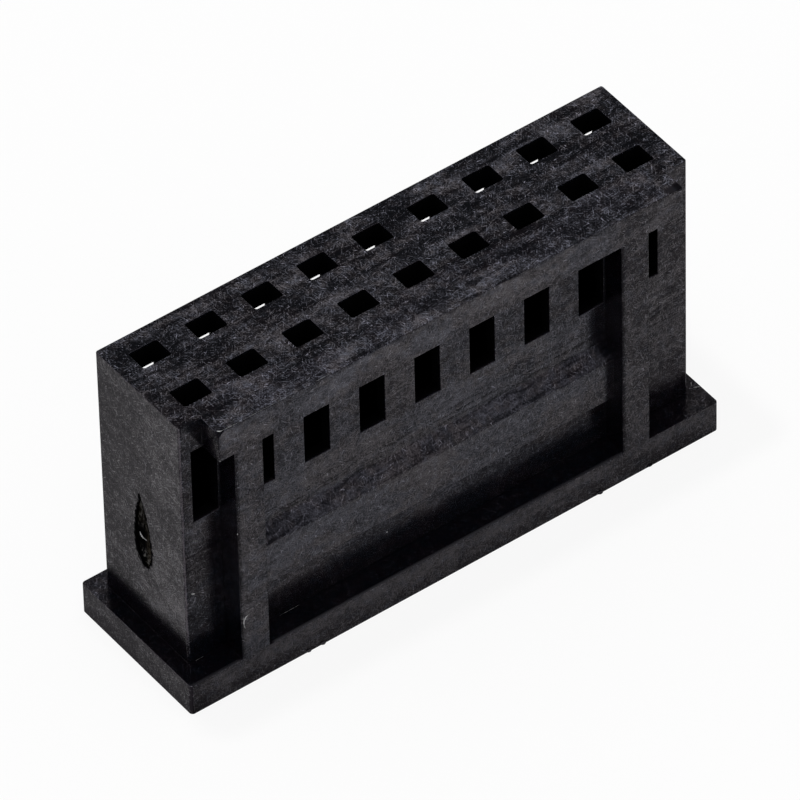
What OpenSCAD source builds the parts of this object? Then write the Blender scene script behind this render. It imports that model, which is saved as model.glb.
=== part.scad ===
/* [Contact grid] */
// Contacts in each of the two rows
positions = 9; // [3:1:20]
// Contact pitch along a row
pitch = 2; // [1.8:0.05:3]
// Distance between the two rows
row_spacing = 2; // [1.8:0.05:3]

/* [Body] */
// Height from the wire side to the mating face
total_h = 10.7; // [9.5:0.1:14]
// Wall between neighbouring cavities of a row
partition_wall = 0.4; // [0.25:0.05:0.6]
// Wall between the two rows of cavities
middle_wall = 0.74; // [0.3:0.01:0.9]
// Wall outside each row, which the windows pierce
outer_wall = 0.42; // [0.25:0.01:0.8]
// Wall at each end of the body
end_wall = 0.4; // [0.3:0.05:1]
// Radius of the body's upright corners
body_corner = 0.08; // [0.03:0.01:0.2]

/* [Mating face] */
// Wall between the mating face and the cavities
top_wall = 0.8; // [0.5:0.05:1.1]
// Length of a pin hole along the row
hole_w = 1; // [0.6:0.05:1.2]
// Width of a pin hole across the row
hole_d = 0.78; // [0.5:0.02:1]
// Corner radius of a pin hole
hole_corner = 0.08; // [0.03:0.01:0.2]

/* [Wire side] */
// Height of the bevel round each wire entry
entry_bevel_h = 0.3; // [0.1:0.05:0.6]
// How far the bevel widens the entry on each side
entry_bevel = 0.12; // [0.05:0.01:0.15]

/* [Windows] */
// Width of a lance window
window_w = 0.9; // [0.6:0.05:1.1]
// Height of a lance window
window_h = 2.82; // [1.5:0.05:3.2]

/* [Flange] */
// Thickness of the flange
flange_h = 1.15; // [0.6:0.05:2]
// Ledge at each end of the body
end_ledge = 0.53; // [0.2:0.01:1.5]
// Ledge behind the body
back_ledge = 0.55; // [0.2:0.01:1.5]
// Radius of the flange's upright corners
flange_corner = 0.12; // [0.03:0.01:0.2]

/* [Front band and guide ribs] */
// How far the band, the ribs and the flange stand out from the front wall
front_step = 0.83; // [0.5:0.01:1.5]
// Height of the band along the mating edge, down to the tops of the windows
band_h = 1.15; // [1.1:0.05:1.6]
// Distance from each end of the body to the band
band_inset = 0.8; // [0.3:0.05:1.2]
// Width of a guide rib
rib_w = 1; // [0.6:0.05:1.1]

/* [Chipped band corner] */
// Length of the chip along the mating edge
chip_length = 0.2; // [0.05:0.01:0.4]
// Height of the chip below the mating face
chip_height = 0.17; // [0.05:0.01:0.5]
// Depth of the chip behind the front of the band
chip_depth = 0.12; // [0.05:0.01:0.3]

/* [Lock bar] */
// Depth from the mating face to the top of the bar's slope
bar_drop = 5.5; // [4.5:0.05:5.8]
// Height of the lead-in slope
bar_slope_h = 0.5; // [0.2:0.05:0.8]
// Height of the upright face, down to the catch
bar_face_h = 1.57; // [0.8:0.01:1.8]
// How far the bar stands out from the front wall
bar_depth = 0.4; // [0.2:0.01:0.5]

/* [Gate mark] */
// Height of the mark's centre above the wire side
gate_z = 4.93; // [2.5:0.01:6]
// Distance of the mark's centre behind the middle of the end face
gate_offset = 0.03; // [0:0.01:0.3]
// Length of the mark, upright
gate_length = 2.8; // [1:0.05:3]
// Width of the mark
gate_width = 0.68; // [0.4:0.02:1]
// How much fuller the lower half is than the upper half, as a share of the width
gate_fullness = 0.45; // [0:0.01:0.6]
// Sideways lean of the upper tip, towards the back
gate_lean = 0.055; // [0:0.005:0.3]
// Depth of the torn pocket
gate_depth = 0.15; // [0.05:0.01:0.2]

/* [Hidden] */
$fn = 32;

// Overlap past a face that is cut through, and of joined solids
past = 0.1;

// Points round the outline of the gate mark
gate_points = 36;

cavity_w = pitch - partition_wall;
cavity_d = row_spacing - middle_wall;
body_length = (positions - 1) * pitch + cavity_w + 2 * end_wall;
body_depth = 2 * row_spacing - middle_wall + 2 * outer_wall;
flange_length = body_length + 2 * end_ledge;
flange_depth = front_step + body_depth + back_ledge;

// Places across the part, with the flange centred on the origin
front_y = -flange_depth / 2;
wall_y = front_y + front_step;
centre_y = wall_y + body_depth / 2;

// A window is flush with one side of its cavity, and so sits off the pin hole's centre
window_shift = (cavity_w - window_w) / 2;
window_top = total_h - band_h;

// Each rib stands on the pier between an outermost window and its neighbour
rib_first = column_x(0) + pitch / 2 - window_shift;
rib_last = column_x(positions - 1) - pitch / 2 - window_shift;

// Joined solids reach half-way into the front wall
root_y = wall_y + outer_wall / 2;

function column_x(k) = (k - (positions - 1) / 2) * pitch;
function row_y(side) = centre_y + side * row_spacing / 2;

// Rectangle with round corners, centred
module rounded_rectangle(w, d, r) {
    square([w - 2 * r, d], center = true);
    square([w, d - 2 * r], center = true);
    for (sx = [-1, 1], sy = [-1, 1])
        translate([sx * (w / 2 - r), sy * (d / 2 - r)])
            circle(r);
}

// Flange on the wire side, wider than the body all round
module flange() {
    linear_extrude(flange_h)
        rounded_rectangle(flange_length, flange_depth, flange_corner);
}

// Upright body that holds the cavities
module body_block() {
    translate([0, centre_y, 0])
        linear_extrude(total_h)
            rounded_rectangle(body_length, body_depth, body_corner);
}

// Bevelled mouth of one cavity: two crossing wedges, one for each pair of sides
module entry_mouth() {
    tall = entry_bevel_h + past;
    wider = entry_bevel * tall / entry_bevel_h;
    intersection() {
        rotate([90, 0, 0])
            linear_extrude(2 * cavity_d, center = true)
                mouth_section(cavity_w / 2, wider, tall);
        rotate([90, 0, 90])
            linear_extrude(2 * cavity_w, center = true)
                mouth_section(cavity_d / 2, wider, tall);
    }
}

// Section of the mouth: half width at the top, widened towards the wire side
module mouth_section(half, wider, tall) {
    polygon([
        [-half - wider, -past],
        [half + wider, -past],
        [half, tall - past],
        [-half, tall - past]
    ]);
}

// One contact cavity with its pin hole and its bevelled mouth
module cavity() {
    translate([-cavity_w / 2, -cavity_d / 2, -past])
        cube([cavity_w, cavity_d, total_h - top_wall + past]);
    translate([0, 0, total_h - top_wall - past])
        linear_extrude(top_wall + 2 * past)
            rounded_rectangle(hole_w, hole_d, hole_corner);
    entry_mouth();
}

// One lance window, cut from outside into its cavity
module window() {
    translate([-window_w / 2, -outer_wall - past, window_top - window_h])
        cube([window_w, outer_wall + 2 * past, window_h]);
}

// Cavities of both rows; the back row is the front row turned half round
module contact_cuts() {
    for (k = [0 : positions - 1], side = [-1, 1])
        translate([column_x(k), row_y(side), 0]) {
            cavity();
            translate([side * window_shift, side * cavity_d / 2, 0])
                rotate([0, 0, side > 0 ? 180 : 0])
                    window();
        }
}

// Egg-shaped outline that leans to one side: an ellipse whose width shrinks and whose
// middle shifts in step with the height
module gate_outline() {
    polygon([for (k = [0 : gate_points - 1])
        let (turn = 360 * k / gate_points, rise = sin(turn))
        [gate_width / 2 * cos(turn) * (1 - gate_fullness * rise) + gate_lean * rise,
         gate_length / 2 * rise]]);
}

// Shallow pocket torn out of the left end where the gate broke off
module gate_mark() {
    translate([-body_length / 2 - past, centre_y + gate_offset, gate_z])
        rotate([90, 0, 90])
            linear_extrude(gate_depth + past)
                gate_outline();
}

// Band along the front of the mating edge, chipped at its left end
module front_band() {
    length = body_length - 2 * band_inset;
    difference() {
        translate([-length / 2, front_y, total_h - band_h])
            cube([length, root_y - front_y, band_h]);
        translate([-length / 2, front_y - past, total_h])
            rotate([-90, 0, 0])
                linear_extrude(chip_depth + past)
                    chip_section();
    }
}

// Three-cornered chip, with its height measured down from the mating face
module chip_section() {
    polygon([
        [-past, -past],
        [chip_length, -past],
        [chip_length, 0],
        [0, chip_height],
        [-past, chip_height]
    ]);
}

// Guide rib from the flange up into the band, centred on x
module guide_rib(x) {
    translate([x - rib_w / 2, front_y, 0])
        cube([rib_w, root_y - front_y, total_h - band_h / 2]);
}

// Bar between the ribs: a slope to slide over the latch and a square catch below
module lock_bar() {
    start = rib_first;
    slope_foot = -bar_slope_h;
    catch = slope_foot - bar_face_h;
    translate([start, wall_y, total_h - bar_drop])
        rotate([90, 0, 90])
            linear_extrude(rib_last - start)
                polygon([
                    [0, 0],
                    [-bar_depth, slope_foot],
                    [-bar_depth, catch],
                    [root_y - wall_y, catch],
                    [root_y - wall_y, 0]
                ]);
}

module housing() {
    color([0.1, 0.1, 0.105]) {
        difference() {
            union() {
                flange();
                body_block();
            }
            contact_cuts();
            gate_mark();
        }
        front_band();
        guide_rib(rib_first);
        guide_rib(rib_last);
        lock_bar();
    }
}

housing();
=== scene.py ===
"""Black moulded socket housing: softened edges, fibre-filled plastic, mould marks and a plain studio."""

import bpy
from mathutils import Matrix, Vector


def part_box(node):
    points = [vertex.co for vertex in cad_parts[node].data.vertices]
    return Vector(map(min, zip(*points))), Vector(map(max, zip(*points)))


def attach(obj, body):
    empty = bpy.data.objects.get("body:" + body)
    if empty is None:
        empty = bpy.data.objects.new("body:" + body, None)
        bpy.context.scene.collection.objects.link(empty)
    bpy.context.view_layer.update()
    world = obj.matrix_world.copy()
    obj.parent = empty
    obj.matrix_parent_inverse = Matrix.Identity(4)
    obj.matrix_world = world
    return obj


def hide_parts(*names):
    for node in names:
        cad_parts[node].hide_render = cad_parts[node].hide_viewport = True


bl_info = {
    "name": "Socket Housing Looks",
    "version": (1, 0, 0),
    "blender": (4, 5, 0),
    "location": "3D View > Sidebar > Housing",
    "description": "Dresses a moulded connector housing with fibre-filled plastic, mould marks and a studio",
    "category": "Object",
}

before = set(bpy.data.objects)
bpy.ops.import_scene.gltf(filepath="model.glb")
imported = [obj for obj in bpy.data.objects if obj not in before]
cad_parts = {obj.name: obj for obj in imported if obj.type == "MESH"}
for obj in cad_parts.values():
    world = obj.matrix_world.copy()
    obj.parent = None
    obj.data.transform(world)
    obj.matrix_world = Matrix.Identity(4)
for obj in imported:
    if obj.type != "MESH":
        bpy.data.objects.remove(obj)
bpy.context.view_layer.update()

import functools
import math

import bmesh
import bpy
from bpy.props import FloatProperty, FloatVectorProperty, PointerProperty
from mathutils import Matrix, Vector
import numpy as np

MM = 0.001
NODE = "housing"
LOW, HIGH = (np.array(corner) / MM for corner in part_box(NODE))

# Materials that more than one operator uses
PLASTIC, PALE_FLASH = "fibre_filled_plastic", "pale_flash"

# What all colours, shares from 0 to 1 and fine lengths have in common as properties
COLOUR = {"subtype": "COLOR", "size": 3}
SHARE = {"min": 0.0, "max": 1.0}
FINE_LENGTH = {"unit": "LENGTH", "precision": 6}

# Merging of the loose triangles in metres, and rolling over of the sharp edges
MERGE = 1e-7
FLAT = math.radians(0.5)
SHARP = math.radians(30)
INNER_SHARE = 0.3
EDGE_STEPS = 2
EDGE_TURN = math.radians(20)

# Places on the moulding, in millimetres
TOP = HIGH[2]
FRONT = LOW[1]
BODY_END = LOW[0] + 0.53
WALL = FRONT + 0.83
FLANGE_TOP = 1.15
FLANGE_RIM = 0.2
EDGE_NEAR = 1e-3
BODY_MIDDLE, BODY_HALF = WALL + 2.05, 2.05
SLOPE_Z, BAR_LOW = 5.0, 3.1
RIB_SHIFT, RIB_OUT, RIB_HALF = 0.35, 7.0, 0.5
RIB_LEFT = -RIB_SHIFT - RIB_OUT - RIB_HALF
CHIP_X, CHIP_Y, CHIP_Z, CHIP_SKIN = -8.17, -2.58, 10.52, 0.004

# Torn gate on the left end: middle, half sizes, depth, and the shape of its egg outline
GATE_Y, GATE_Z = 0.17, 4.93
GATE_HALF_WIDTH, GATE_HALF_LENGTH, GATE_DEPTH = 0.34, 1.4, 0.15
GATE_FULLNESS, GATE_LEAN = 0.45, 0.055

# Ragged border of the gate's colour, as limits of spread, size and unevenness, and the nick above it
BORDER, BORDER_SIZE, BORDER_UNEVEN = (1.45, 1.05), 0.14, 0.9
NICK_Y, NICK_Z, NICK_SPREAD = 0.25, 6.33, 0.005

# Rim of the gate: share of the outline at its inner edge, raggedness and limits of that, outer share, and depths of
# the corners of its section
RIM_INNER, RIM_RAGGED, RIM_LIMITS, RIM_OUTER = 0.97, 0.035, (0.84, 1.06), 1.1
RIM_DEPTHS = (-0.002, -0.002, 0.01, 0.05, 0.05)

# Floor of the gate: shares of the outline, depth in the middle, rise to the outline, unevenness, limits of depth, and
# depths of the points that close it in front and behind
PIT_SHARES, PIT_DEPTH, PIT_RISE, PIT_UNEVEN, PIT_LIMITS = (0.12, 1.01), 0.13, 0.05, 0.018, (0.03, 0.145)
PIT_POLES = (0.12, 0.2)

# Random draws of the torn gate and of the burr, and the detail of a sliver
GATE_SEED, BURR_SEED = 5, 8
SLIVER_STEPS, SLIVER_SIDES, SLIVER_TAPER = 28, 12, 0.6

# Outward directions of the faces that carry marks
OUT_LEFT, OUT_FRONT, OUT_TOP = (-1, 0, 0), (0, -1, 0), (0, 0, 1)

# Pale sliver left in the torn gate: width and height, then start, knee and end
GATE_SLIVER_SIZE = (0.026, 0.02)
GATE_SLIVER = ((BODY_END + 0.04, 0.36, 4.80), (BODY_END + 0.02, 0.31, 4.63), (BODY_END + 0.04, 0.0, 4.69))

# Pale flash on the band's corner, the left rib and the left wall: curve, outward direction, width, height
FLASH = (
    (((-8.36, -2.60, TOP), (-8.34, -2.69, TOP + 0.015), (-8.21, -2.70, TOP)), OUT_TOP, 0.03, 0.015),
    (((-7.52, FRONT, 2.85), (-7.87, FRONT, 2.85), (-7.71, FRONT, 2.34)), OUT_FRONT, 0.032, 0.018),
    (((-7.80, FRONT, 2.80), (-7.74, FRONT, 2.78), (-7.67, FRONT, 2.71)), OUT_FRONT, 0.05, 0.025),
    (((-9.01, WALL, 3.92), (-8.94, WALL, 3.88), (-8.86, WALL, 3.84)), OUT_FRONT, 0.045, 0.016),
)

# Duller flash along the mating edge, on the flange and on the left wall, in the same form
FLASH_LINES = (
    (((-8.22, -2.69, TOP), (-7.95, -2.71, TOP + 0.01), (-7.7, -2.71, TOP)), OUT_TOP, 0.03, 0.012),
    (((-7.9, -2.71, TOP), (-7.0, -2.715, TOP), (-5.45, -2.715, TOP)), OUT_TOP, 0.012, 0.004),
    (((-4.93, -2.715, TOP), (-4.6, -2.715, TOP), (-4.36, -2.715, TOP)), OUT_TOP, 0.014, 0.004),
    (((9.48, -1.8, FLANGE_TOP), (9.56, -1.9, FLANGE_TOP + 0.03), (9.7, -1.88, FLANGE_TOP)), OUT_TOP, 0.055, 0.025),
    (((9.6, -1.58, FLANGE_TOP), (9.54, -1.66, FLANGE_TOP + 0.02), (9.5, -1.74, FLANGE_TOP)), OUT_TOP, 0.035, 0.015),
    (((-8.98, -1.93, FLANGE_TOP), (-8.85, -1.94, FLANGE_TOP), (-8.66, -1.93, FLANGE_TOP)), OUT_TOP, 0.014, 0.006),
    (((-5.95, -1.95, FLANGE_TOP), (-5.6, -1.95, FLANGE_TOP), (-5.2, -1.94, FLANGE_TOP)), OUT_TOP, 0.012, 0.005),
    (((-8.87, WALL, 6.01), (-8.77, WALL, 5.95), (-8.67, WALL, 5.89)), OUT_FRONT, 0.035, 0.012),
)

# Pale specks: half length, width and height, then place and outward direction
SPECK_REACH, SPECK_WIDTH, SPECK_HEIGHT = 0.025, 0.03, 0.012
SPECKS = (
    ((-7.86, FRONT, 6.325), OUT_FRONT),
    ((-1.952, WALL, 2.148), OUT_FRONT),
    ((-8.37, FRONT, 9.59), OUT_FRONT),
)

# Burr along the flange's lower front edge: inset from its ends, place, width, raggedness and its waves, limits of
# width, and the size and places of the larger tags
BURR_INSET, BURR_Y, BURR_Z, BURR_STEPS = 0.15, FRONT + 0.01, 0.05, 420
BURR_WIDTH, BURR_RAGGED, BURR_WAVES, BURR_LIMITS = 0.015, 0.01, range(20, 120, 3), (0.005, 0.12)
TAG_WIDTH, TAG_LENGTH = 0.1, 0.1
BURR_TAGS = np.array((-5.48, -4.96, 5.28, 7.15, 8.3))

# Directions of the glass fibres in the plane of a face, in degrees, and strengths of the light and dark strokes
FIBRE_TURNS = (8, 53, 98, 143)
LIGHT_STROKE, DARK_STROKE = 1.7, 0.4

# Sizes in the plastic's pattern, in millimetres: wander of the strokes, noises, streaks, furrows and relief
DRIFT_SIZE, DRIFT = 1.2, 0.3
CLOUD_SIZE, ZONE_SIZE, MOTTLE_SIZE, TINT_SIZE, FLECK_SIZE = 0.9, 1.7, 0.25, 0.3, 0.17
STREAK_LENGTH, STREAK_WIDTH = 1.5, 0.11
FURROW_LENGTH, FURROW_WIDTH = 2.6, 0.22
RELIEF = 0.002

# How the melt's flow draws out the clouds along the rows, and the parts that the layers have in the pattern
FLOW = (0.5, 1.0, 1.0)
GRAIN_PART, FIBRE_PART, CLOUD_PART, MOTTLE_PART, TINT_PART, BAND_CLOUD = 0.5, 0.39, 0.84, 0.22, 2.4, 0.3

# Refractive index of the resin, and how square to an axis a face stands before it takes that axis's plane
RESIN_INDEX = 1.5
FACE_TURN = 0.7

# Tones of the worn right corner, whose fall to dark is painted shade of its dent, and of the chip, and shades that
# stand
# alone: streaks, and painted shade on the low ledges, at the wall's foot and in the crease beside the left rib
WORN_SHADE_TONE, WORN_SHADE_FALL, CHIP_TONE = 0.4, 0.5, 0.28
STREAK_SHADE, LEDGE_SHADE, FOOT_SHADE, CREASE_SHADE = 0.24, 0.34, 0.8, 0.5

# Shades: how much darker than its level a place is, then the smooth steps that bound it, as axis, start and end.
# Those marked below are painted shade, or painted highlight where the strength is below 0
BAND_STEP = ("z", 9.5, 9.6)
FLANGE_STEP = ("z", 1.2, 1.14)
OUTER_CORNER = (("right", -0.25, -0.45), ("back", -0.25, -0.45))
OUTER_EDGE = (("right", -0.25, -0.5), ("up", 0.25, 0.5))
FRONT_SHADES = {
    # painted shade: the whole front darker to the right, as the light falls
    "to the right": (0.14, ("x", 0.0, -BODY_END)),
}
WALL_SHADES = {
    "piers between the windows": (0.11, ("z", 6.4, 7.0)),
    "left of the left rib": (0.12, ("x", -7.8, -8.2)),
    "left of the left rib, low": (0.09, ("x", -7.8, -8.2), ("z", 6.2, 5.6)),
    # painted shade where the left rib's shadow falls on the wall close beside it
    "close to the left rib": (0.15, ("x", -8.3, -8.05), ("x", -7.8, -7.84)),
    "left corner": (0.07, ("x", -9.0, -9.2)),
    "right of the right rib, high": (-0.06, ("x", 6.8, 7.4), ("z", 6.4, 7.6)),
    "right of the right rib, low": (-0.06, ("x", 6.8, 7.4), ("z", 3.2, 2.4)),
    # painted shade under the lock bar
    "below the lock bar": (0.06, ("z", 3.1, 3.0)),
}
SLOPE_SHADES = {
    "all": (0.03,),
    "left end": (0.15, ("x", -5.2, -6.6)),
    "right of the middle": (-0.05, ("x", 1.5, 2.5), ("x", 5.2, 4.6)),
}
BAR_SHADES = {
    "all": (0.012,),
    "upper edge": (0.2, ("z", 4.6, 4.74)),
    "upper half": (-0.04, ("z", 3.6, 4.4)),
}
RIB_SHADES = {
    "all": (0.05,),
    # painted shade along the ribs' rounded front edges, stronger at the left edge
    "left edge": (0.34, ("aside", -0.34, -0.5)),
    "right edge": (0.12, ("aside", 0.42, 0.5)),
    "foot": (-0.07, ("z", 3.2, 1.6)),
    "left rib, high": (0.05, ("x", 0.0, -1.0), ("z", 5.5, 7.0)),
}
BAND_SHADES = {
    "all": (-0.012,),
    "lower part": (0.06, ("z", 10.0, 9.7)),
    "to the right": (-0.07, ("x", 0.0, -BODY_END)),
    "mating edge": (0.14, ("z", TOP - 0.14, TOP)),
    "left end": (0.2, ("x", -8.28, -8.4)),
    # painted shade of the worn, chipped right corner
    "worn right corner, painted shade": (0.6, ("x", 8.1, 8.28), ("z", TOP - 0.12, TOP - 0.07)),
}
FLANGE_SHADES = {
    "all": (0.03,),
    "lower edge": (0.08, ("z", 0.5, 0.1)),
    "upper half": (-0.17, ("z", 0.3, 0.95)),
    "left end": (0.13, ("x", -8.5, -9.6)),
    "left part": (0.07, ("x", -4.5, -7.5)),
    "right part": (-0.04, ("x", 0.0, 5.0)),
}
END_SHADES = {
    "all": (0.01,),
    "to the front": (-0.105, ("y", 0.6, -1.9)),
    "front edge": (-0.03, ("y", -1.2, -1.8)),
    "to the back": (0.12, ("y", 0.0, 2.2)),
    "mating edge": (-0.06, ("z", 9.4, 10.4)),
    "upper half": (0.025, ("z", 5.6, 6.6)),
    "lower part": (-0.12, ("z", 4.6, 3.2), ("z", 1.1, 1.3)),
    # painted shadow over the ends' foot, above the flange
    "foot": (0.3, ("z", 2.3, 1.6), ("z", 1.14, 1.2)),
    "flange": (0.07, ("z", 1.3, 1.1)),
    "flange's lower edge": (0.06, ("z", 0.8, 0.1)),
    "flange's upper half": (-0.08, FLANGE_STEP, ("z", 0.5, 1.0)),
    "flange's front corner": (0.1, FLANGE_STEP, ("y", -2.2, -2.74)),
    "flange's front part": (0.07, FLANGE_STEP, ("y", 0.4, -1.0)),
    "flange's back part": (-0.06, FLANGE_STEP, ("y", 0.5, 1.4)),
    "band's ends, high": (0.3, ("out", 8.7, 8.6), ("z", 9.9, 10.1)),
    "band's ends, low": (-0.12, ("out", 8.7, 8.6), ("z", 9.95, 9.75), ("y", -2.1, -2.4)),
}
MATING_SHADES = {
    "strip behind the middle": (0.06, ("y", -0.35, -0.15), ("y", 1.05, 0.9)),
    "strip before the middle": (-0.05, ("y", -1.0, -0.85), ("y", -0.2, -0.35)),
    "left end": (0.06, ("x", -7.6, -8.8)),
    "front edge": (-0.17, ("y", -1.9, -2.4)),
}
# Painted shade on the rounded edges, and painted highlight where the strength is below 0
EDGE_SHADES = {
    "back": (0.45, ("back", 0.15, 0.35), ("back", 0.97, 0.85)),
    "mating face, left": (-0.6, *OUTER_EDGE, ("z", TOP - 0.1, TOP - 0.05)),
    "flange, left": (-0.6, *OUTER_EDGE, ("x", -9.6, -9.65)),
    "left end, front": (-0.3, *OUTER_CORNER, ("z", 2.0, 2.6), ("x", -9.05, -9.1)),
    "flange, front left": (0.25, *OUTER_CORNER, ("z", FLANGE_TOP, FLANGE_TOP - 0.05)),
    "ribs, left": (0.3, *OUTER_CORNER, ("x", -8.1, -8.0), ("z", 9.4, 9.2)),
}

# Clearance under the part, so that its underside and the floor are not one surface
FLOOR_GAP = 0.01 * MM

# How far the painted shade on the floor beside the part falls to the right and to the front, in millimetres
SHADE_FALL = (0.8, -0.6, 0.0)

# Sweep of the floor into the backdrop in metres, and the detail of both
FLOOR_SWEEP, FLOOR_RINGS, FLOOR_SIDES = 0.1, 12, 96

# Camera's sensor width in millimetres, and the nearest and furthest that it sees in metres
SENSOR, SEEN_FROM, SEEN_TO = 36.0, 0.01, 10.0

# Soft boxes: name, place, width, height in metres, power in watts
LAMPS = (("top_box", (-0.18, -0.22, 0.86), 0.3, 0.3, 1.6),)


def two_sided(operation):
    """Two methods that add a Math node each: with the own socket on the left, and with it on the right."""
    return (
        lambda own, other: own.math(operation, own, other),
        lambda own, other: own.math(operation, other, own),
    )


class Field:
    """A shader socket in a formula: each operator adds one Math node to the socket's tree."""

    def __init__(self, tree, socket=None):
        self.tree = tree
        self.socket = socket

    def add(self, kind, settings=(), outlet=0, **inlets):
        """Adds any node: its settings are set first, then each inlet gets its value or link.

        _0, _1 and so on name an inlet by its place. A colour of three parts is made opaque."""
        node = self.tree.nodes.new(kind)
        for key, value in dict(settings).items():
            setattr(node, key, value)
        for key, value in inlets.items():
            place = int(key[1:]) if key[0] == "_" else key.replace("_", " ")
            socket = node.inputs[place]
            if isinstance(value, Field):
                self.tree.links.new(value.socket, socket)
            elif socket.type == "RGBA" and len(value) == 3:
                socket.default_value = (*value, 1.0)
            else:
                socket.default_value = value
        return Field(self.tree, node.outputs[outlet])

    def outlet(self, name):
        """Another outlet of the node that this socket belongs to."""
        return Field(self.tree, self.socket.node.outputs[name])

    def math(self, operation, first, second=0.0):
        """Math node on two numbers or sockets."""
        return self.add("ShaderNodeMath", {"operation": operation}, _0=first, _1=second)

    __add__, __radd__ = two_sided("ADD")
    __sub__, __rsub__ = two_sided("SUBTRACT")
    __mul__, __rmul__ = two_sided("MULTIPLY")
    __truediv__ = two_sided("DIVIDE")[0]
    __gt__, __lt__ = two_sided("GREATER_THAN")

    def __abs__(self):
        return self.math("ABSOLUTE", self)

    def most(self, other):
        """The larger of two."""
        return self.math("MAXIMUM", self, other)

    def least(self, other):
        """The smaller of two."""
        return self.math("MINIMUM", self, other)

    def near(self, place, reach):
        """1 within reach of a place, 0 beyond it."""
        return abs(self - place) < reach

    def vector(self, operation, other=(0.0, 0.0, 0.0), outlet=0, **more):
        """Vector Math on this socket. Outlet 1 is the number that a length or dot product gives."""
        return self.add("ShaderNodeVectorMath", {"operation": operation}, outlet, _0=self, _1=other, **more)

    def ramp(self, start, end, low=0.0, high=1.0):
        """Smooth step: low up to start, high from end on."""
        settings = {"interpolation_type": "SMOOTHSTEP"}
        return self.add("ShaderNodeMapRange", settings, _0=self, _1=start, _2=end, _3=low, _4=high)

    def mix(self, first, second):
        """Colour between two, by this socket."""
        return self.add("ShaderNodeMix", {"data_type": "RGBA"}, outlet=2, _0=self, _6=first, _7=second)

    def number(self, first, second):
        """Number between two, by this socket."""
        return self.add("ShaderNodeMix", {"data_type": "FLOAT"}, _0=self, _2=first, _3=second)

    def blend(self, first, second):
        """Vector between two, by this socket."""
        return self.add("ShaderNodeMix", {"data_type": "VECTOR"}, outlet=1, _0=self, _4=first, _5=second)

    def surface(self, first, second):
        """Shader between two, by this socket."""
        return self.add("ShaderNodeMixShader", _0=self, _1=first, _2=second)

    def noise(self, size, detail=1.0, roughness=0.5, outlet=0, dimensions="2D"):
        """Noise over the plane or the space that this socket gives, with cells of the given size."""
        settings = {"noise_dimensions": dimensions}
        return self.add(
            "ShaderNodeTexNoise", settings, outlet, Vector=self, Scale=1 / size, Detail=detail, Roughness=roughness
        )

    def drawn(self, length, width, turn=0.0):
        """Noise drawn out along one direction of the plane: length along it and width across it."""
        turned = self.add(
            "ShaderNodeMapping",
            {"vector_type": "TEXTURE"},
            Vector=self,
            Rotation=(0.0, 0.0, math.radians(turn)),
            Scale=(length, width, 1.0),
        )
        return turned.noise(1.0)


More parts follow.
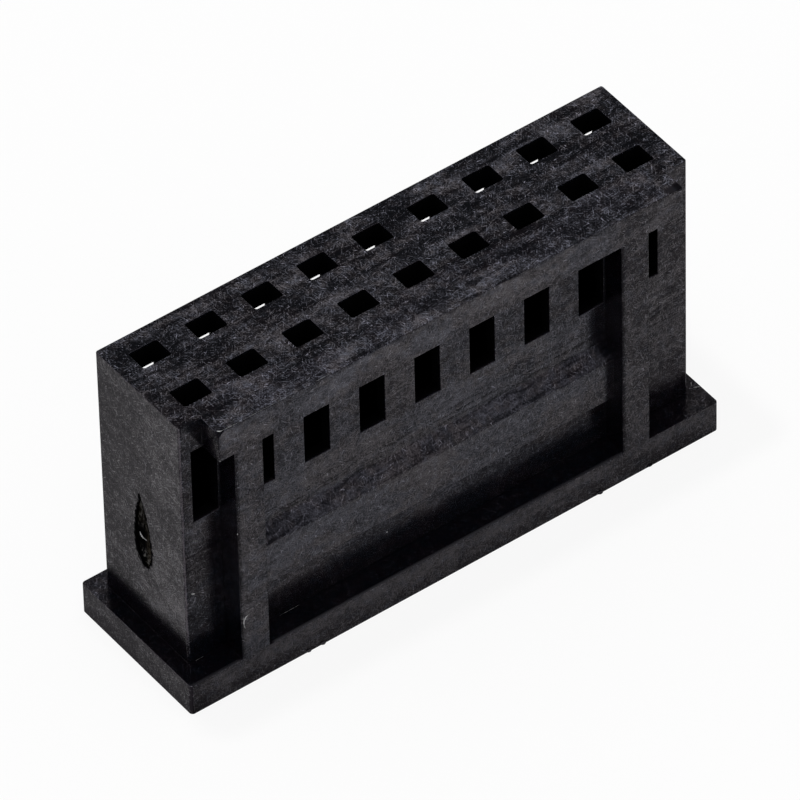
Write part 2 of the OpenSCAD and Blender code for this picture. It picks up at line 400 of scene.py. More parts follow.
class HousingFinish(bpy.types.PropertyGroup):
    """Edges and plastic of the moulding."""

    edge_radius: FloatProperty(
        name="Edge radius", description="Rounding of every moulded edge", default=0.025 * MM, **FINE_LENGTH
    )
    skin_warm: FloatVectorProperty(
        name="Warm skin", description="Resin colour in the violet zones", default=(0.0018, 0.0013, 0.0023), **COLOUR
    )
    skin_cool: FloatVectorProperty(
        name="Cool skin", description="Resin colour in the blue zones", default=(0.0011, 0.0015, 0.0026), **COLOUR
    )
    fibre_warm: FloatVectorProperty(
        name="Warm fibre", description="Fibre colour in the violet zones", default=(0.031, 0.030, 0.034), **COLOUR
    )
    fibre_cool: FloatVectorProperty(
        name="Cool fibre", description="Fibre colour in the blue zones", default=(0.026, 0.031, 0.042), **COLOUR
    )
    gloss_warm: FloatVectorProperty(
        name="Warm gloss", description="Reflection tint in the violet zones", default=(0.89, 0.81, 0.885), **COLOUR
    )
    gloss_cool: FloatVectorProperty(
        name="Cool gloss", description="Reflection tint in the blue zones", default=(0.84, 0.815, 0.99), **COLOUR
    )
    # The ends take a lighter skin than the rest of the resin, as painted light
    end_skin_painted_light: FloatVectorProperty(
        name="End skin", description="Resin colour on the two ends", default=(0.0103, 0.0088, 0.0112), **COLOUR
    )
    fibre_length: FloatProperty(
        name="Fibre length", description="Usual length of a visible fibre", default=0.34 * MM, **FINE_LENGTH
    )
    fibre_width: FloatProperty(
        name="Fibre width", description="Usual width of a visible fibre", default=0.036 * MM, **FINE_LENGTH
    )
    grain_size: FloatProperty(
        name="Grain size", description="Size of the finest specks of the skin", default=0.05 * MM, **FINE_LENGTH
    )
    roughness: FloatProperty(name="Roughness", description="Roughness of the resin skin", default=0.21, **SHARE)
    skin_gloss: FloatProperty(
        name="Skin gloss", description="Specular level of the dull resin skin", default=0.03, **SHARE
    )
    fibre_gloss: FloatProperty(
        name="Fibre gloss", description="Specular level where glass lies at the surface", default=1.0, **SHARE
    )
    glint_index: FloatProperty(
        name="Glint index", description="Refractive index of the brightest strokes", default=2.5, min=1.3, max=2.5
    )
    # Near-black resin of the torn gate and the dull flash, also painted as shade on the cavity walls
    pit_and_cavity_shade: FloatVectorProperty(
        name="Pit", description="Colour of the sheltered insides", default=(0.0012, 0.0012, 0.0014), **COLOUR
    )
    mating_contrast: FloatProperty(
        name="Mating face contrast",
        description="Strength of the fibre pattern on the mating face, beside the walls",
        default=1.66,
        min=0.0,
        max=3.0,
    )
    end_contrast: FloatProperty(
        name="End contrast",
        description="Strength of the fibre pattern on the ends, beside the walls",
        default=1.3,
        min=0.0,
        max=3.0,
    )
    wall_glass: FloatProperty(
        name="Wall lightness", description="Glass that shows on the walls, as lightness", default=0.65, **SHARE
    )
    # Less glass than on the walls, as painted shade of the mating face
    mating_glass_painted_shade: FloatProperty(
        name="Mating face lightness", description="Glass that shows there, as lightness", default=0.465, **SHARE
    )
    # Less glass than on the walls, as painted shade of the ends, which take a lighter skin as painted light
    end_glass_painted_shade: FloatProperty(
        name="End lightness", description="Glass that shows on the ends, as lightness", default=0.298, **SHARE
    )
    flash: FloatVectorProperty(
        name="Flash", description="Colour of thin, pale flash and slivers", default=(0.38, 0.38, 0.39), **COLOUR
    )
    flash_dull: FloatVectorProperty(
        name="Dull flash", description="Colour of the flash where it is thicker", default=(0.12, 0.12, 0.12), **COLOUR
    )
    torn: FloatVectorProperty(
        name="Torn resin", description="Colour of lighter facets in the gate", default=(0.024, 0.0205, 0.016), **COLOUR
    )
    torn_gloss: FloatProperty(
        name="Torn gloss", description="Specular level of the torn facets", default=0.35, **SHARE
    )


class HousingStudio(bpy.types.PropertyGroup):
    """Camera, floor and lamps."""

    azimuth: FloatProperty(
        name="Azimuth",
        description="Camera's turn from the ribbed front",
        default=math.radians(-35.7555),
        subtype="ANGLE",
    )
    elevation: FloatProperty(
        name="Elevation",
        description="Camera's height above the horizon",
        default=math.radians(44.2798),
        subtype="ANGLE",
    )
    roll: FloatProperty(
        name="Roll", description="Camera's turn about its own axis", default=math.radians(-1.4419), subtype="ANGLE"
    )
    distance: FloatProperty(
        name="Distance", description="From the camera to its aim", default=346.997 * MM, unit="LENGTH"
    )
    aim: FloatVectorProperty(
        name="Aim",
        description="Point in the middle of the picture",
        default=(-0.1142 * MM, -0.1786 * MM, 5.1329 * MM),
        size=3,
        subtype="TRANSLATION",
    )
    lens: FloatProperty(name="Lens", description="Focal length in millimetres on a 36 mm sensor", default=531.927)
    floor_radius: FloatProperty(
        name="Floor radius", description="Flat part of the floor, before it sweeps up", default=0.9, unit="LENGTH"
    )
    wall_height: FloatProperty(
        name="Wall height",
        description="Height of the backdrop that the floor sweeps up into",
        default=0.25,
        unit="LENGTH",
    )
    floor_colour: FloatVectorProperty(
        name="Floor", description="Colour of the floor and backdrop", default=(0.9, 0.9, 0.9), **COLOUR
    )
    floor_white: FloatProperty(
        name="Seen white", description="Share of plain white in the floor that the camera sees", default=0.9, **SHARE
    )
    floor_shade: FloatProperty(
        name="Contact shade", description="Brightness of the floor close round the part", default=0.55, **SHARE
    )
    floor_mirrored: FloatProperty(
        name="Mirrored white",
        description="Share of plain white in the floor that reflections show",
        default=0.05,
        **SHARE,
    )
    room: FloatVectorProperty(
        name="Room", description="Colour of the light that comes from all round", default=(0.8, 0.8, 0.8), **COLOUR
    )


def new_material(name):
    """An empty node material, with a field to write its formulas from."""
    material = bpy.data.materials.new(name)
    material.use_nodes = True
    material.node_tree.nodes.clear()
    return material, Field(material.node_tree)


def made_material(name):
    """A material that an earlier operator made. It is an error if that operator hasn't run."""
    material = bpy.data.materials.get(name)
    if material is None:
        raise RuntimeError(f"{name} isn't there yet: the operators run in the order of the panel")
    return material


def place_on(field):
    """Place on the object, in millimetres."""
    return field.add("ShaderNodeTexCoord", outlet="Object").vector("SCALE", Scale=1 / MM)


def link_surface(shader, kind="ShaderNodeOutputMaterial"):
    """Links a shader to a new output of its tree."""
    output = shader.tree.nodes.new(kind)
    shader.tree.links.new(shader.socket, output.inputs["Surface"])


def new_piece(name, mesh, material):
    """Links a piece that rides on the body, with the given material in its one slot."""
    mesh.materials.clear()
    mesh.materials.append(material)
    piece = bpy.data.objects.new(name, mesh)
    bpy.context.scene.collection.objects.link(piece)
    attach(piece, "root")
    return piece


def under_flange(edge):
    """Whether an edge runs round the flange's underside, which stays sharp where the mould closed."""
    places = [vert.co / MM for vert in edge.verts]
    return all(
        place.z < EDGE_NEAR and (abs(place.x) > HIGH[0] - FLANGE_RIM or abs(place.y) > HIGH[1] - FLANGE_RIM)
        for place in places
    )


def softened_mesh(source, radius):
    """The node's mesh with its triangles merged into flat faces and every sharp edge rolled over by a small radius."""
    work = bmesh.new()
    work.from_mesh(source)
    bmesh.ops.remove_doubles(work, verts=work.verts, dist=MERGE)
    bmesh.ops.dissolve_limit(work, angle_limit=FLAT, verts=work.verts, edges=work.edges)
    for way, offset in ((1, radius), (-1, INNER_SHARE * radius)):
        sharp = [
            edge for edge in work.edges if way * edge.calc_face_angle_signed() > SHARP and not under_flange(edge)
        ]
        bmesh.ops.bevel(
            work,
            geom=sharp,
            offset=offset,
            offset_type="OFFSET",
            segments=EDGE_STEPS,
            profile=0.5,
            affect="EDGES",
            clamp_overlap=False,
        )
    for face in work.faces:
        face.smooth = True
    for edge in work.edges:
        edge.smooth = abs(edge.calc_face_angle_signed()) < SHARP + EDGE_TURN
    mesh = bpy.data.meshes.new("moulding")
    work.to_mesh(mesh)
    work.free()
    return mesh


def surface_axes(field):
    """Axes that masks and shades are measured along: place in millimetres, distance out from the middle and aside from
    the nearer rib's middle line, and how far a face looks to the right, to the back and up."""
    inside = field.add("ShaderNodeTexCoord", outlet="Object")
    x = field.add("ShaderNodeSeparateXYZ", Vector=inside.vector("SCALE", Scale=1 / MM))
    facing = field.add("ShaderNodeSeparateXYZ", Vector=inside.outlet("Normal"))
    shifted = x + RIB_SHIFT
    return {
        "x": x,
        "y": x.outlet("Y"),
        "z": x.outlet("Z"),
        "out": abs(x),
        "aside": shifted - RIB_OUT * x.math("SIGN", shifted),
        "right": facing,
        "back": facing.outlet("Y"),
        "up": facing.outlet("Z"),
    }


def within(at, *steps):
    """Product of smooth steps from 0 to 1. Each step is an axis, its start and its end."""
    share = 1.0
    for axis, start, end in steps:
        share = share * at[axis].ramp(start, end)
    return share


def shaded(at, shades):
    """Sum of shades. Each is a strength times its smooth steps."""
    total = 0.0
    for strength, *steps in shades.values():
        total = total + strength * within(at, *steps)
    return total


def face_plane(at):
    """Coordinates in the plane of a face: x and y on top and below, y and z on the ends, x and z elsewhere."""
    x, y, z = at["x"], at["y"], at["z"]
    level = abs(at["up"]) > FACE_TURN
    endways = abs(at["right"]) > FACE_TURN
    on_front = x.add("ShaderNodeCombineXYZ", X=x, Y=z)
    on_end = x.add("ShaderNodeCombineXYZ", X=y, Y=z)
    on_top = x.add("ShaderNodeCombineXYZ", X=x, Y=y)
    return level.blend(endways.blend(on_front, on_end), on_top)


def fibre_mat(plane, length, width):
    """Fibres that lie in several directions: above 0 where glass shows, below 0 in the gaps between them.

    Each direction is a noise drawn out along it. The highest of them gives the light strokes and the lowest
    the dark ones."""
    strokes = [plane.drawn(length, width, turn) for turn in FIBRE_TURNS]
    light, dark = functools.reduce(Field.most, strokes), functools.reduce(Field.least, strokes)
    return LIGHT_STROKE * light.ramp(0.62, 0.9) - DARK_STROKE * dark.ramp(0.40, 0.14)


def front_shade(at, plane):
    """How much darker than its level each front face is: the wall with its slope and lock bar, which are set back, and
    the flange, the ribs and the band, which stand proud above one another. Part of it is painted shade: to the right,
    beside the left rib, under the lock bar, along the ribs' edges and at the worn right corner."""
    streaks = plane.drawn(STREAK_LENGTH, STREAK_WIDTH).ramp(0.42, 0.75)
    streaks = streaks * within(at, ("z", SLOPE_Z + 1.4, SLOPE_Z + 0.3), ("z", SLOPE_Z - 0.35, SLOPE_Z - 0.28))
    slope = within(at, ("up", 0.3, 0.5), ("z", SLOPE_Z + 0.4, SLOPE_Z + 0.3))
    bar = within(at, ("z", SLOPE_Z - 0.28, SLOPE_Z - 0.32), ("z", BAR_LOW, BAR_LOW + 0.1))
    bar = bar * within(at, ("y", WALL - 0.3, WALL - 0.36))
    wall = shaded(at, WALL_SHADES) + STREAK_SHADE * streaks
    wall = wall + slope * shaded(at, SLOPE_SHADES) + bar * shaded(at, BAR_SHADES)
    upper = within(at, BAND_STEP).number(shaded(at, RIB_SHADES), shaded(at, BAND_SHADES))
    proud = within(at, ("z", FLANGE_TOP - 0.15, FLANGE_TOP + 0.15)).number(shaded(at, FLANGE_SHADES), upper)
    set_back = within(at, ("y", FRONT + 0.04, FRONT + 0.2))
    return shaded(at, FRONT_SHADES) + set_back.number(proud, wall)


def edge_shade(at):
    """How much darker than its level each rounded edge is, as painted shade and painted highlight, with painted shade
    in the corner at the wall's foot and in the crease beside the left rib."""
    foot = at["z"].near(FLANGE_TOP, 0.03) * at["y"].near(WALL, 0.03) * (at["out"] < -BODY_END)
    crease = at["x"].near(RIB_LEFT, 0.02) * at["y"].near(WALL, 0.02) * within(at, ("z", 6.75, 6.6))
    return shaded(at, EDGE_SHADES) + FOOT_SHADE * foot + CREASE_SHADE * crease


def torn_mask(at, plane):
    """1 in the torn gate: in its pocket, on a ragged border of it on the end's face, and in the nick above it."""
    x, y, z = at["x"], at["y"], at["z"]
    deep = (x > BODY_END + 0.02) * (x < BODY_END + GATE_DEPTH + 0.05)
    pocket = deep * y.near(GATE_Y, 2 * GATE_HALF_WIDTH) * z.near(GATE_Z, 1.1 * GATE_HALF_LENGTH)
    rise = ((z - GATE_Z) / GATE_HALF_LENGTH).most(-1.3).least(1.3)
    across = (y - GATE_Y - rise * GATE_LEAN) / (GATE_HALF_WIDTH * (1.0 - rise * GATE_FULLNESS))
    spread = 0.82 * across * across + 1.3 * rise * rise + BORDER_UNEVEN * (plane.noise(BORDER_SIZE, 2.0) - 0.5)
    beside, above = y - NICK_Y, z - NICK_Z
    nick = beside * beside + 0.35 * above * above < NICK_SPREAD
    on_face = x < BODY_END + 0.03
    return pocket.most(on_face * spread.ramp(*BORDER)).most(on_face * nick)


def painted_cavity_shade_mask(at):
    """1 on the walls of the cavities, which lie inside the body's outline and below its mating face. There the
    near-black pit surface is painted shade.
    """
    inside = abs(at["y"] - BODY_MIDDLE).ramp(BODY_HALF, BODY_HALF - 0.12)
    return inside * within(at, ("out", -BODY_END - 0.2, -BODY_END - 0.3), ("z", TOP, TOP - 0.12), ("z", 0.05, 0.6))


def resin(field, base, rough, gloss=0.0, index=RESIN_INDEX, **more):
    """Principled surface of one colour, roughness, specular level and refractive index."""
    return field.add(
        "ShaderNodeBsdfPrincipled", Base_Color=base, Roughness=rough, IOR=index, Specular_IOR_Level=gloss, **more
    )


def plastic_material(finish):
    """Black resin with glass fibres: a dull skin, glassy strokes and a few glints, mixed by the fibre pattern.

    Tone is a level for each kind of face, plus the pattern times its contrast, less the shades, part of which are
    painted shade and painted highlight. The share of glass is the square of the tone's smooth step."""
    material, field = new_material(PLASTIC)
    at = surface_axes(field)
    x, y, z = at["x"], at["y"], at["z"]
    plane = face_plane(at)

    upward = within(at, ("up", 0.6, 0.9))
    mating = upward * within(at, ("z", TOP - 0.1, TOP - 0.05))
    endways = abs(at["right"]).ramp(0.3, 0.6)
    outer = endways * within(at, ("out", -BODY_END - 0.3, -BODY_END - 0.1))
    front = within(at, ("y", WALL + 0.05, WALL))
    before = front * (1.0 - mating)
    chip = (x < CHIP_X) * (y < CHIP_Y) * (y > FRONT + CHIP_SKIN) * (z > CHIP_Z) * (z < TOP - CHIP_SKIN)

    drift = plane.noise(DRIFT_SIZE, 2.0, outlet="Color").vector("SUBTRACT", (0.5, 0.5, 0.5))
    bent = plane.vector("ADD", drift.vector("SCALE", Scale=DRIFT))
    flow = bent.vector("MULTIPLY", FLOW)
    length, width = finish.fibre_length / MM, finish.fibre_width / MM
    grain = plane.noise(finish.grain_size / MM)
    fibres = fibre_mat(bent, length, width) + 0.5 * fibre_mat(bent, 2.0 * length, 1.3 * width)
    fibres = fibres * grain.ramp(0.28, 0.72, 0.62, 1.38)
    cloud = flow.noise(CLOUD_SIZE, 5.0, 0.7) - 0.5
    zone = flow.noise(ZONE_SIZE, 4.0, 0.6)

    pattern = (
        GRAIN_PART * (grain - 0.5)
        + FIBRE_PART * fibres
        + CLOUD_PART * cloud
        + MOTTLE_PART * (plane.noise(MOTTLE_SIZE) - 0.5)
        + (0.05 * mating - 0.17 * before) * (flow.noise(CLOUD_SIZE) - 0.5)
        + BAND_CLOUD * before * within(at, BAND_STEP) * cloud
    )
    contrast = 1.0 + (finish.mating_contrast - 1.0) * mating + (finish.end_contrast - 1.0) * endways
    # Level: the walls' glass, set lower on the mating face and the ends as painted shade
    level = (
        finish.wall_glass
        + (finish.mating_glass_painted_shade - finish.wall_glass) * mating
        + (finish.end_glass_painted_shade - finish.wall_glass) * endways
    )
    furrows = 0.12 * zone.ramp(0.52, 0.36) + 0.3 * bent.drawn(FURROW_LENGTH, FURROW_WIDTH).ramp(0.52, 0.74)
    # Darker places: the mating face's furrows and shades, and painted shade and painted highlight on the low ledges,
    # the fronts, the ends and the rounded edges
    darkening_and_painted_shade = (
        mating * (furrows + shaded(at, MATING_SHADES))
        + LEDGE_SHADE * upward * within(at, ("z", 3.0, 2.0))
        + front * (1.0 - endways) * (1.0 - upward) * front_shade(at, bent)
        + endways * shaded(at, END_SHADES)
        + edge_shade(at)
    )
    # Worn right corner of the mating face: its tone falls dark towards the tip as painted shade of its dent
    worn_dent_shade = mating * within(at, ("x", 7.8, 8.0), ("y", -2.4, -2.55))
    worn_dent_shade_tone = WORN_SHADE_TONE - WORN_SHADE_FALL * within(at, ("x", 8.12, 8.36))
    tone = chip.number(worn_dent_shade.number(level + contrast * pattern - darkening_and_painted_shade, worn_dent_shade_tone), CHIP_TONE)
    lightness = tone.ramp(-0.15, 1.15)

    warmer = within(at, ("z", 1.25, 1.05)).most(before * within(at, ("x", 5.4, 6.4))).most(outer)
    warm = (zone.ramp(0.4, 0.6) * (1.0 - 0.3 * mating)).most(0.85 * warmer)
    warm = warm + TINT_PART * (plane.noise(TINT_SIZE) - 0.5)
    # The ends take the lighter end skin as painted light, faded out over their foot
    on_end = outer * within(at, ("z", 1.8, 2.8)).most(within(at, ("z", 1.2, 1.1)))
    beside_ribs = within(at, ("out", 6.8, 6.6)).most(0.5 * within(at, ("x", -7.8, -8.0)))
    # Painted highlight along the flange's top front edge: the warm fibre colour where a rounder edge would catch the
    # light
    rim = upward * within(at, ("z", FLANGE_TOP + 0.15, FLANGE_TOP + 0.05), ("y", FRONT + 0.13, FRONT + 0.03))
    rim = rim * beside_ribs * (0.85 - 0.4 * within(at, ("x", 0.0, 5.0)))
    colour = on_end.mix(warm.mix(finish.skin_cool, finish.skin_warm), finish.end_skin_painted_light)
    colour = rim.mix(colour, finish.fibre_warm)
    fibre = (0.25 + 0.75 * mating) * (1.0 - endways) * tone.ramp(0.5, 1.0)
    fibre = fibre.mix(colour, warm.mix(finish.fibre_cool, finish.fibre_warm))

    rough = finish.roughness + 0.1 * cloud
    relief = field.add("ShaderNodeBump", Strength=0.5, Distance=RELIEF * MM, Height=grain)
    skin = resin(field, colour, rough, finish.skin_gloss, Specular_Tint=finish.gloss_warm, Normal=relief)
    cool_glass, warm_glass, sparkle = (
        resin(field, fibre, rough, finish.fibre_gloss, index, Specular_Tint=tint, Normal=relief)
        for index, tint in (
            (RESIN_INDEX, finish.gloss_cool),
            (RESIN_INDEX, finish.gloss_warm),
            (finish.glint_index, finish.gloss_cool),
        )
    )
    glint = lightness * pattern.ramp(0.25, 0.75) * plane.noise(FLECK_SIZE).ramp(0.5, 0.68)
    glint = glint * (0.4 + 0.6 * mating) * (1.0 - endways)
    flecked = (lightness * lightness).surface(skin, warm.surface(cool_glass, warm_glass))
    # The torn gate, and the cavity walls as painted shade, take the near-black pit surface
    torn_or_painted_shade = torn_mask(at, plane).most(painted_cavity_shade_mask(at))
    link_surface(torn_or_painted_shade.surface(glint.surface(flecked, sparkle), resin(field, finish.pit_and_cavity_shade, 0.6)))
    return material


class HOUSING_OT_moulding(bpy.types.Operator):
    """Stands a softened, textured copy of the moulding in place of the plain solid"""

    bl_idname = "housing.moulding"
    bl_label = "Moulding"

    def execute(self, context):
        finish = context.scene.housing_finish
        mesh = softened_mesh(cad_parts[NODE].data, finish.edge_radius)
        piece = new_piece("moulded_housing", mesh, plastic_material(finish))
        piece.modifiers.new("even_shading", "WEIGHTED_NORMAL").keep_sharp = True
        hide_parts(NODE)
        return {"FINISHED"}


def torn_material(finish):
    """Torn resin in the gate's pocket: near black and brown, with duller grey facets."""
    material, field = new_material("torn_resin")
    place = place_on(field)
    across = field.add("ShaderNodeSeparateXYZ", Vector=place).outlet("Y")
    height = across.outlet("Z")
    patch = place.vector("MULTIPLY", (0.0, 1.0, 0.5)).noise(0.09, 2.0, 0.6, dimensions="3D")
    upper, lower = height.ramp(GATE_Z - 0.1, GATE_Z + 0.3), height.ramp(GATE_Z - 0.6, GATE_Z - 1.1)
    bright = patch.ramp(0.5, 0.62) * (0.5 * upper + lower)
    stub = across.ramp(GATE_Y + 0.1, GATE_Y - 0.15).most(0.35 * height.ramp(GATE_Z, GATE_Z + 0.3))
    stub = stub * patch.ramp(0.3, 0.6)
    dull = resin(field, stub.mix(finish.pit_and_cavity_shade, finish.torn), 0.5 + patch * 0.2)
    facet = resin(field, patch.ramp(0.5, 0.7).mix(finish.pit_and_cavity_shade, finish.torn), 0.25 + patch * 0.2, finish.torn_gloss)
    link_surface(bright.surface(dull, facet))
    return material


def flash_material(name, thick, thin):
    """Stressed resin that has turned pale where it is thin, with darker patches."""
    material, field = new_material(name)
    place = place_on(field)
    patch = place.noise(0.09, 2.0, dimensions="3D")
    link_surface(resin(field, patch.ramp(0.38, 0.62).mix(thick, thin), 0.35 + patch * 0.2, 0.5))
    return material


def closed_piece(name, points, faces, material, smooth=True):
    """A piece from points in millimetres, with its faces turned outwards. It is an error if it isn't closed."""
    mesh = bpy.data.meshes.new(name)
    mesh.from_pydata((points * MM).tolist(), [], faces)
    work = bmesh.new()
    work.from_mesh(mesh)
    if not all(edge.is_manifold for edge in work.edges):
        raise RuntimeError(f"{name} isn't closed")
    bmesh.ops.recalc_face_normals(work, faces=work.faces)
    work.to_mesh(mesh)
    work.free()
    if smooth:
        mesh.shade_smooth()
    else:
        mesh.shade_flat()
    new_piece(name, mesh, material)


def ring_walls(rings, sides):
    """Numbers of the points of a grid of closed rings, those of the next points, and the faces between the rings."""
    index = np.arange(rings * sides).reshape(rings, sides)
    follow = np.roll(index, -1, axis=1)
    walls = np.stack((index[:-1], index[1:], follow[1:], follow[:-1]), axis=-1).reshape(-1, 4)
    return index, follow, walls


def ring_caps(index, follow):
    """Triangles from the first ring and from the last one to two poles, whose numbers come after the grid's."""
    poles = ((index.size, 0), (index.size + 1, -1))
    return [np.stack((np.full(index.shape[1], pole), index[row], follow[row]), axis=-1) for pole, row in poles]


def bend(start, knee, end, steps=SLIVER_STEPS):
    """Quadratic curve (1-t)^2 start + 2t(1-t) knee + t^2 end, as rows of points."""
    t = np.linspace(0, 1, steps)[:, None]
    start, knee, end = (np.array(point) for point in (start, knee, end))
    return (1 - t) ** 2 * start + 2 * t * (1 - t) * knee + t**2 * end


def sliver(path, out, width, height, sides=SLIVER_SIDES):
    """Closed sliver on a surface: an ellipse carried along a path and drawn to a point at both ends.

    Ring at t: path + sin(pi t)^0.6 (width / 2 cos a side + height sin a out), with side square to the path and to
    out, the surface's outward direction."""
    out = np.array(out, dtype=float)
    along = np.gradient(path, axis=0)
    side = np.cross(along, out)
    side /= np.linalg.norm(side, axis=1, keepdims=True)
    angle = np.arange(sides) / sides * 2 * math.pi
    taper = np.sin(np.linspace(0, math.pi, len(path))) ** SLIVER_TAPER
    half, rise = (taper * np.broadcast_to(size, len(path)) for size in (np.asarray(width) / 2, height))
    rings = (
        path[:, None]
        + half[:, None, None] * np.cos(angle)[None, :, None] * side[:, None]
        + rise[:, None, None] * np.sin(angle)[None, :, None] * out
    )[1:-1]
    index, follow, walls = ring_walls(len(rings), sides)
    caps = np.concatenate(ring_caps(index, follow))
    points = np.concatenate((rings.reshape(-1, 3), path[[0, -1]]))
    return points, walls.tolist() + caps.tolist()


def slivers(rows):
    """A sliver for each row: curve, outward direction, width, height."""
    return [sliver(bend(*points), out, width, height) for points, out, width, height in rows]


def gathered(shapes):
    """Several (points, faces) shapes as one."""
    points, faces, start = [], [], 0
    for shape_points, shape_faces in shapes:
        points.append(shape_points)
        faces += [[start + corner for corner in face] for face in shape_faces]
        start += len(shape_points)
    return np.concatenate(points), faces


def ragged(turn, random, waves=range(3, 22)):
    """Uneven round line: sum over k of cos(k turn + phase) / sqrt(k), with a random phase for each k."""
    k = np.array(waves)
    phase = random.uniform(0, 2 * math.pi, len(k))
    return (np.cos(np.outer(turn, k) + phase) / np.sqrt(k)).sum(axis=1)


def egg(turn, share):
    """Points (y, z) on the gate's outline, drawn in to a share of its size."""
    rise = np.sin(turn)
    across = GATE_HALF_WIDTH * np.cos(turn) * (1 - GATE_FULLNESS * rise) + GATE_LEAN * rise
    return GATE_Y + share * across, GATE_Z + share * GATE_HALF_LENGTH * rise


def torn_rim(random, sides=120):
    """Ragged lip round the gate's pocket: a flat loop of five corners carried round the egg outline.

    Each corner is a share of the outline and a depth below the end face. The inner corners take the ragged line."""
    turn = np.arange(sides) / sides * 2 * math.pi
    inner = (RIM_INNER + RIM_RAGGED * ragged(turn, random)).clip(*RIM_LIMITS)
    outer = np.full(sides, RIM_OUTER)
    shares = np.stack((outer, inner + 0.02, inner, inner + 0.03, outer))
    depths = np.array(RIM_DEPTHS)
    y, z = egg(turn, shares)
    points = np.stack((np.broadcast_to(BODY_END + depths[:, None], y.shape), y, z), axis=-1)
    index = np.arange(points[..., 0].size).reshape(points.shape[:2])
    right, below = np.roll(index, -1, axis=1), np.roll(index, -1, axis=0)
    faces = np.stack((index, right, np.roll(right, -1, axis=0), below), axis=-1)
    return points.reshape(-1, 3), faces.reshape(-1, 4).tolist()


def torn_floor(random, rings=7, sides=26):
    """Floor of the gate's pocket: a round sheet of random facets, closed by a point behind it.

    Depth at share s of the outline is the middle's depth less s^2 times the rise, give or take a random amount."""
    turn = np.arange(sides) / sides * 2 * math.pi
    share = np.linspace(*PIT_SHARES, rings)[:, None]
    y, z = egg(turn, share)
    depth = PIT_DEPTH - PIT_RISE * share**2 + random.normal(0, PIT_UNEVEN, (rings, sides))
    grid = np.stack((BODY_END + depth.clip(*PIT_LIMITS), y, z), axis=-1).reshape(-1, 3)
    poles = np.array([(BODY_END + pole, GATE_Y, GATE_Z) for pole in PIT_POLES])
    index, follow, walls = ring_walls(rings, sides)
    corners = np.concatenate((walls[:, [0, 1, 2]], walls[:, [0, 2, 3]], *ring_caps(index, follow)))
    return np.concatenate((grid, poles)), corners.tolist()


class HOUSING_OT_torn_gate(bpy.types.Operator):
    """Fills the pocket on the left end with the torn stub of the gate"""

    bl_idname = "housing.torn_gate"
    bl_label = "Torn gate"

    def execute(self, context):
        finish = context.scene.housing_finish
        random = np.random.default_rng(GATE_SEED)
        plastic = made_material(PLASTIC)
        closed_piece("gate_rim", *torn_rim(random), plastic, smooth=False)
        closed_piece("gate_floor", *torn_floor(random), torn_material(finish), smooth=False)
        pale = flash_material(PALE_FLASH, finish.flash_dull, finish.flash)
        closed_piece("gate_sliver", *sliver(bend(*GATE_SLIVER), OUT_LEFT, *GATE_SLIVER_SIZE), pale)
        return {"FINISHED"}


def edge_burr(random, steps=BURR_STEPS):
    """Uneven bead along the lower front edge of the flange: a sliver as high as it is wide.

    Its width is a ragged line, plus exp(-((x - tag) / length)^2) times a tag's width for each of the tags."""
    path = bend(*((x, BURR_Y, BURR_Z) for x in (LOW[0] + BURR_INSET, 0.0, HIGH[0] - BURR_INSET)), steps)
    tags = np.exp(-(((path[:, :1] - BURR_TAGS) / TAG_LENGTH) ** 2)).sum(axis=1)
    line = ragged(np.linspace(0, math.pi, steps), random, BURR_WAVES)
    width = (BURR_WIDTH + BURR_RAGGED * line + TAG_WIDTH * tags).clip(*BURR_LIMITS)
    return sliver(path, OUT_FRONT, width, width)


class HOUSING_OT_flash(bpy.types.Operator):
    """Adds the pale flash, the flake and the specks of the mould, and the burr under the flange"""

    bl_idname = "housing.flash"
    bl_label = "Mould flash"

    def execute(self, context):
        finish = context.scene.housing_finish
        plastic, pale = made_material(PLASTIC), made_material(PALE_FLASH)
        shapes = slivers(FLASH)
        for place, out in SPECKS:
            reach = np.roll(np.array(out, dtype=float), 1) * SPECK_REACH
            path = bend(np.array(place) - reach, place, np.array(place) + reach)
            shapes.append(sliver(path, out, SPECK_WIDTH, SPECK_HEIGHT))
        closed_piece("mould_flash", *gathered(shapes), pale)
        dull = flash_material("dull_flash", finish.pit_and_cavity_shade, finish.flash_dull)
        closed_piece("edge_flash", *gathered(slivers(FLASH_LINES)), dull)
        closed_piece("flange_burr", *edge_burr(np.random.default_rng(BURR_SEED)), plastic)
        return {"FINISHED"}


def swept_floor(radius, wall, sweep=FLOOR_SWEEP, rings=FLOOR_RINGS, sides=FLOOR_SIDES):
    """Surface of revolution: a flat disc to radius, a quarter circle of radius sweep, then an upright wall.

    The profile is (r, z) along its length and the grid turns it about Z."""
    turn = np.linspace(0, math.pi / 2, rings)[1:]
    flat = np.linspace(0.02, 1, rings) * radius
    across = np.concatenate(([0.0], flat, radius + sweep * np.sin(turn), [radius + sweep]))
    rise = np.concatenate((np.zeros(rings + 1), sweep - sweep * np.cos(turn), [wall])) - FLOOR_GAP
    angle = np.arange(sides) / sides * 2 * math.pi
    points = np.stack(
        (np.outer(across, np.cos(angle)), np.outer(across, np.sin(angle)), np.repeat(rise[:, None], sides, 1)), axis=-1
    )
    return points.reshape(-1, 3), ring_walls(len(across), sides)[2]


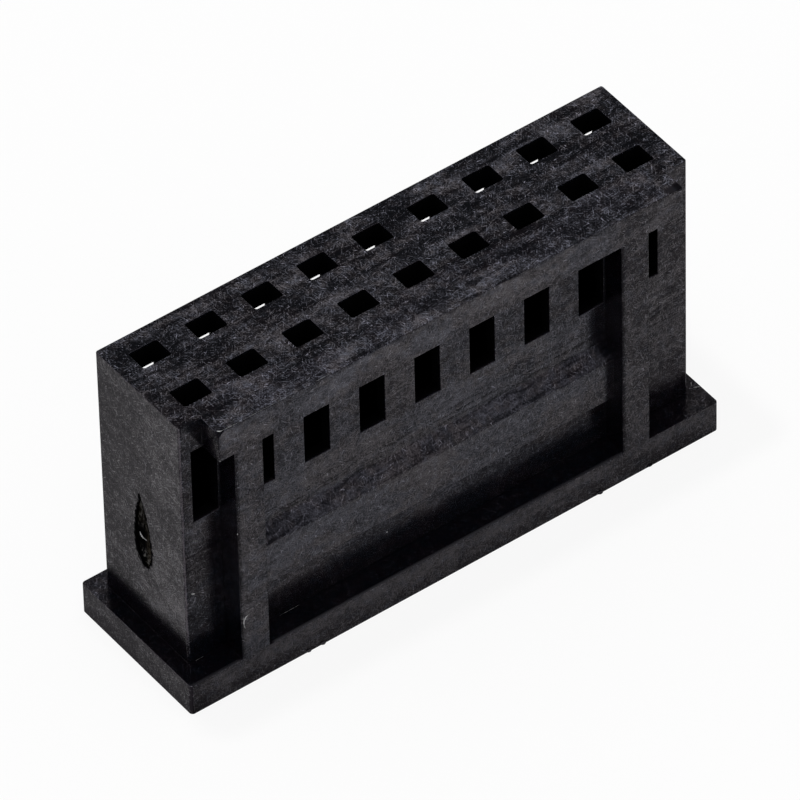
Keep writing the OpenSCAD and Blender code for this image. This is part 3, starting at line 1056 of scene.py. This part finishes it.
def floor_material(studio):
    """Pale matt floor with a painted shade close round the part, with plain white mixed in where the camera or a
    mirror sees it.
    """
    material, field = new_material("studio_floor")
    place = place_on(field)
    fallen = place.vector("SUBTRACT", SHADE_FALL).vector("ABSOLUTE")
    beyond = fallen.vector("SUBTRACT", HIGH * (1, 1, 0)).vector("MAXIMUM")
    shade = beyond.vector("LENGTH", outlet=1).ramp(0.4, 1.4, studio.floor_shade, 1.0)
    pale = shade.mix((0.0, 0.0, 0.0), studio.floor_colour)
    ray = field.add("ShaderNodeLightPath", outlet="Is Camera Ray")
    mirrored = ray.outlet("Is Glossy Ray").most(ray.outlet("Is Transmission Ray"))
    share = ray * studio.floor_white + mirrored * studio.floor_mirrored
    matt = field.add("ShaderNodeBsdfDiffuse", Color=pale)
    white = field.add("ShaderNodeEmission", Color=(1.0, 1.0, 1.0), Strength=1.0)
    link_surface(share.surface(matt, white))
    return material


def studio_world(studio):
    """Even light from all round, seen by the camera as plain white."""
    world = bpy.data.worlds.new("studio_room")
    world.use_nodes = True
    world.node_tree.nodes.clear()
    field = Field(world.node_tree)
    seen = field.add("ShaderNodeLightPath", outlet="Is Camera Ray")
    room = field.add("ShaderNodeBackground", Color=studio.room, Strength=1.0)
    white = field.add("ShaderNodeBackground", Color=(1.0, 1.0, 1.0), Strength=1.0)
    link_surface(seen.surface(room, white), "ShaderNodeOutputWorld")
    return world


def soft_box(name, place, aim, width, height, power):
    """Area lamp that faces the aim point."""
    lamp = bpy.data.lights.new(name, "AREA")
    lamp.shape = "RECTANGLE"
    lamp.size = width
    lamp.size_y = height
    lamp.energy = power
    holder = bpy.data.objects.new(name, lamp)
    holder.location = place
    holder.rotation_euler = (Vector(place) - Vector(aim)).to_track_quat("Z", "Y").to_euler()
    bpy.context.scene.collection.objects.link(holder)


class HOUSING_OT_studio(bpy.types.Operator):
    """Makes the floor, the backdrop, the lamps and the camera"""

    bl_idname = "housing.studio"
    bl_label = "Studio"

    def execute(self, context):
        scene = context.scene
        studio = scene.housing_studio
        points, faces = swept_floor(studio.floor_radius, studio.wall_height)
        mesh = bpy.data.meshes.new("floor")
        mesh.from_pydata(points, [], faces)
        mesh.shade_smooth()
        mesh.materials.append(floor_material(studio))
        floor = bpy.data.objects.new("floor", mesh)
        scene.collection.objects.link(floor)

        aim = Vector(studio.aim)
        for name, place, width, height, power in LAMPS:
            soft_box(name, place, aim, width, height, power)
        scene.world = studio_world(studio)
        scene.view_settings.view_transform = "Standard"

        flat = math.cos(studio.elevation)
        back = Vector((math.sin(studio.azimuth) * flat, -math.cos(studio.azimuth) * flat, math.sin(studio.elevation)))
        lens = bpy.data.cameras.new("camera")
        lens.lens = studio.lens
        lens.sensor_width = SENSOR
        lens.clip_start, lens.clip_end = SEEN_FROM, SEEN_TO
        camera = bpy.data.objects.new("camera", lens)
        camera.location = aim + back * studio.distance
        level = (-back).to_track_quat("-Z", "Y").to_matrix()
        camera.rotation_euler = (level @ Matrix.Rotation(studio.roll, 3, "Z")).to_euler()
        scene.collection.objects.link(camera)
        scene.camera = camera
        return {"FINISHED"}


class HOUSING_PT_sidebar(bpy.types.Panel):
    """Lists the pieces and their settings"""

    bl_idname = "HOUSING_PT_sidebar"
    bl_label = "Socket Housing"
    bl_space_type = "VIEW_3D"
    bl_region_type = "UI"
    bl_category = "Housing"

    def draw(self, context):
        for operator in OPERATORS:
            self.layout.operator(operator.bl_idname)
        for group in (context.scene.housing_finish, context.scene.housing_studio):
            for name in group.__annotations__:
                self.layout.prop(group, name)


OPERATORS = (HOUSING_OT_studio, HOUSING_OT_moulding, HOUSING_OT_torn_gate, HOUSING_OT_flash)
GROUPS = {"housing_finish": HousingFinish, "housing_studio": HousingStudio}


def register():
    for group in GROUPS.values():
        bpy.utils.register_class(group)
    for name, group in GROUPS.items():
        setattr(bpy.types.Scene, name, PointerProperty(type=group))
    for entry in (*OPERATORS, HOUSING_PT_sidebar):
        bpy.utils.register_class(entry)


def unregister():
    for entry in (HOUSING_PT_sidebar, *reversed(OPERATORS)):
        bpy.utils.unregister_class(entry)
    for name in GROUPS:
        delattr(bpy.types.Scene, name)
    for group in GROUPS.values():
        bpy.utils.unregister_class(group)


def main():
    """Registers the add-on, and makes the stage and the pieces."""
    register()
    bpy.ops.housing.studio()
    bpy.ops.housing.moulding()
    bpy.ops.housing.torn_gate()
    bpy.ops.housing.flash()


if __name__ == "__main__":
    main()
